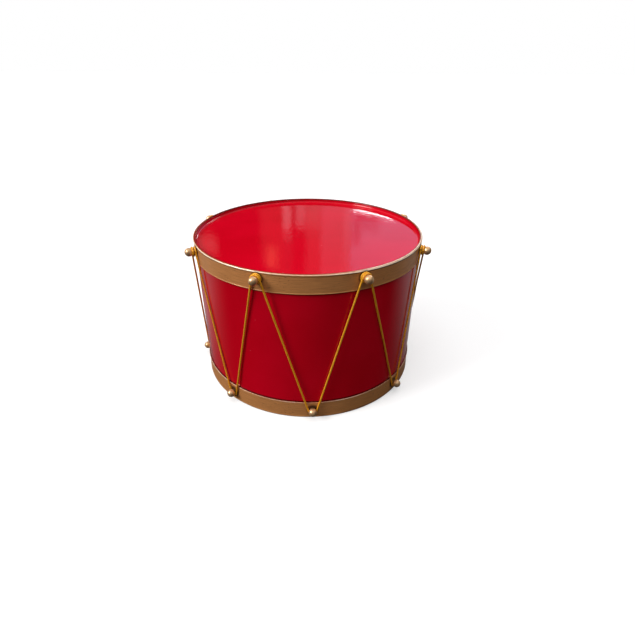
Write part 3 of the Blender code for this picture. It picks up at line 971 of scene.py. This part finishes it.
def makeKnob(ring, index):
    # ball, fillet and neck turned about the knob's own axis, with the stud's blind bore up the middle.
    # The fillet's centre is ball + blend from the ball's and neck + blend from the axis
    ball, neck, blend, chamfer, bore = (knob[key] for key in ("ball", "neck", "blend", "chamfer", "bore"))
    foot = hoop["radius"] + knob["offHoop"]
    centre = ballDistance(ring) - foot
    boreEnd = centre + knob["intoBall"]
    drop = np.sqrt((ball + blend) ** 2 - (neck + blend) ** 2)
    lean = np.degrees(np.arctan2(drop, neck + blend))
    profile = joined(
        arc((0, centre), ball, 86, -lean, 30),
        arc((neck + blend, centre - drop), blend, 180 - lean, 180, 5),
        line((neck, centre - drop), (neck, chamfer), 6),
        line((neck, chamfer), (neck - chamfer, 0.0), 3),
        line((neck - chamfer, 0.0), (bore, 0.0), 3),
        line((bore, 0.0), (bore, boreEnd), 6),
        line((bore, boreEnd), (knob["hub"], boreEnd), 3))
    azimuth = knobAzimuth(ring, index)
    axis = outward(azimuth)
    base = axis * foot + upward * knob[ring + "Height"]
    grid = turnedAbout(base, axis, sideways(azimuth), upward, profile, knob["sides"])
    poles = np.array([base + axis * (centre + ball), base + axis * boreEnd])
    makePiece(f"{ring}Knob{index + 1}", grid, knobMetal, [f"{ring}_knob_{index + 1}"],
              poles=poles)


# The lacing cord

def neckPoint(ring, index, angle, distance):
    # round a knob's neck, at an angle in radians from the horizontal, growing anticlockwise: distance
    # outward + wrapRadius cos t sideways + (the knob's height + wrapRadius sin t) upward
    angle, distance = np.atleast_1d(angle), np.atleast_1d(distance)
    azimuth = knobAzimuth(ring, index)
    across = (wrapRadius * np.cos(angle))[:, None] * sideways(azimuth)
    height = (knob[ring + "Height"] + wrapRadius * np.sin(angle))[:, None] * upward
    return distance[:, None] * outward(azimuth) + across + height


def passDistance(index, turns):
    # level over the top of the neck, then one pass along it while the cord goes underneath:
    # firstPass + passStep (whole turns + the eased rest), or the other way at every second knob
    whole = np.floor(turns)
    moved = whole + eased(turns - whole, cord["crossFrom"], cord["crossTo"])
    if index % 2 == 0:
        moved = cord["passes"] - 1 - moved
    return firstPass + moved * passStep


def strandTilts(top, bottom, side):
    # the tilt from the vertical at each end of a strand, the arc tangent of its sideways run over its
    # fall, found by a few rounds of aiming
    topTilt = bottomTilt = cord["firstTilt"]
    turns = cord["passes"] - 0.5 if side > 0 else 0.0
    for _ in range(cord["aims"]):
        startAngle = topTilt if side > 0 else np.pi - topTilt
        endAngle = np.pi + bottomTilt if side > 0 else -bottomTilt
        run = (neckPoint("bottom", bottom, endAngle, firstPass)
               - neckPoint("top", top, startAngle, passDistance(top, turns)))[0]
        topTilt = np.arctan2(side * run @ sideways(knobAzimuth("top", top)), -run[2])
        bottomTilt = np.arctan2(side * run @ sideways(knobAzimuth("bottom", bottom)), -run[2])
    return topTilt, bottomTilt


def pushOut(points, radius):
    # straight out from the drum's axis to at least this radius: x and y times max(1, radius / distance)
    across = np.hypot(points[:, 0], points[:, 1])
    grow = np.maximum(1.0, radius / across)
    return points * np.stack([grow, grow, np.ones_like(grow)], 1)


def strandRun(start, end):
    # straight from bead to bead, pushed out over each and off the shell between them
    topBead = drum["height"] - hoop["topHeight"] + hoop["beadHeight"] / 2
    bottomBead = hoop["bottomHeight"] - hoop["beadHeight"] / 2
    shares = [(start[2] - height) / (start[2] - end[2]) for height in (topBead, bottomBead)]
    over = pushOut(np.array([start + (end - start) * share for share in shares]), firstPass)
    between = over[0] + np.linspace(0, 1, 25)[:, None] * (over[1] - over[0])
    return pushOut(between, shell["radius"] + cord["room"] + cord["radius"])


def wrapRun(ring, index, leftTilt, rightTilt):
    # round the neck, from left to right
    if ring == "top":
        swept = np.linspace(0, (2 * cord["passes"] - 1) * np.pi - leftTilt - rightTilt, 90)
        distance = passDistance(index, (swept + leftTilt) / (2 * np.pi))
        return neckPoint(ring, index, np.pi - leftTilt - swept, distance)
    swept = np.linspace(0, np.pi - leftTilt - rightTilt, 30)
    return neckPoint(ring, index, np.pi + leftTilt + swept, np.full(30, firstPass))


ferrule = {
    "knob": 5,  # the top knob that it hangs beside
    "drop": 6.0,
    "length": 7.0,
    "wall": 0.4,
    "play": 0.12,
    "rounding": 0.15,
    "crimp": (0.16, 1.7, 0.55),  # how deep, how far from its middle, and how wide
    "sides": 32,
}


def lacingRoute():
    # from the ferrule down to the bottom knob on the right, under it, up to the next top knob, round
    # that and so on, until the two ends are endGap apart
    count = knob["count"]
    down = [strandTilts(k, (k + 1) % count, 1) for k in range(count)]
    up = [strandTilts(k, k, -1) for k in range(count)]
    tops = [wrapRun("top", k, up[k][0], down[k][0]) for k in range(count)]
    bottoms = [wrapRun("bottom", k, down[k - 1][1], up[k][1]) for k in range(count)]
    runs = []
    for step in range(count):
        k = (ferrule["knob"] + step) % count
        below = (k + 1) % count
        runs += [strandRun(tops[k][-1], bottoms[below][0]), bottoms[below],
                 strandRun(tops[below][0], bottoms[below][-1])[::-1], tops[below]]
    route = np.concatenate(runs)
    along = unit(route[0] - route[-1])
    middle = route[-1] + along * (ferrule["drop"] + ferrule["length"] / 2)
    half = along * cord["endGap"] / 2
    return np.concatenate([[middle + half], route, [middle - half]]), middle, along


def evenly(points, step):
    # the same path with points a step apart, each in line with the two old ones beside it
    length = travelled(points)
    count = int(round(length[-1] / step))
    wanted = np.linspace(0, length[-1], count + 1)
    return np.stack([np.interp(wanted, length, points[:, axis]) for axis in range(3)], 1)


def softened(points, step, width):
    # each point becomes the mean of those within 4 widths, weighted exp(-distance^2 / (2 width^2)); the
    # two ends are carried on straight
    reach = int(4 * width / step)
    weights = np.exp(-0.5 * (np.arange(-reach, reach + 1) * step / width) ** 2)
    weights = weights / weights.sum()
    before = points[0] + (points[0] - points[1]) * np.arange(reach, 0, -1)[:, None]
    after = points[-1] + (points[-1] - points[-2]) * np.arange(1, reach + 1)[:, None]
    longer = np.concatenate([before, points, after])
    return np.stack([np.convolve(longer[:, axis], weights, "valid") for axis in range(3)], 1)


def makeCord(route):
    # a round tube: each ring is path + radius (cos t first + sin t second), square to the path, where
    # first is the way out from the drum less its share along the path
    path = evenly(softened(evenly(route, cord["fine"]), cord["fine"], cord["ease"]), cord["step"])
    ahead = unit(np.gradient(path, axis=0))
    out = unit(path * np.array([1.0, 1.0, 0.0]))
    first = unit(out - (out * ahead).sum(1, keepdims=True) * ahead)
    second = np.cross(ahead, first)
    around = np.linspace(0, 2 * np.pi, cord["sides"], endpoint=False)
    across, up = np.cos(around)[None, :, None], np.sin(around)[None, :, None]
    grid = path[:, None] + cord["radius"] * (across * first[:, None] + up * second[:, None])
    length = travelled(path)
    u, v = np.meshgrid(length, np.linspace(0, 1, cord["sides"] + 1), indexing="ij")
    print("lacing cord", round(length[-1]), "mm long,", len(path), "rings")
    makePiece("lacingCord", grid, goldThread, ["lacing_cord"],
              poles=path[[0, -1]], band=("thread", u, v))


def makeFerrule(middle, along):
    # a sleeve with two crimps, where its radius dips by deep exp(-((distance - place) / wide)^2)
    bore = cord["radius"] + ferrule["play"]
    skin = bore + ferrule["wall"]
    half, soft = ferrule["length"] / 2, ferrule["rounding"]
    deep, crimpAt, wide = ferrule["crimp"]
    outside = line((skin, half - soft), (skin, -half + soft), 40)
    outside[:, 0] -= deep * np.exp(-((np.abs(outside[:, 1]) - crimpAt) / wide) ** 2)
    profile = joined(arc((skin - soft, half - soft), soft, 90, 0, 4), outside,
                     arc((skin - soft, -half + soft), soft, 0, -90, 4),
                     line((bore, -half), (bore, half), 8))
    side = unit(np.cross(along, upward))
    grid = turnedAbout(middle, along, side, np.cross(along, side), profile, ferrule["sides"])
    makePiece("cordFerrule", grid, knobMetal, ["cord_ferrule"], closeRows=True)


makeShell()
for ring in rings:
    makeHead(ring)
print("shell and heads made")
for ring in rings:
    makeHoop(ring)
print("hoops made")
for index in range(knob["count"]):
    for ring in rings:
        makeKnob(ring, index)
        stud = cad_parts[f"{ring}_stud_{index + 1}"]
        stud.data.materials.clear()
        stud.data.materials.append(studSteel)
print("knobs made")
route, middle, along = lacingRoute()
makeCord(route)
makeFerrule(middle, along)
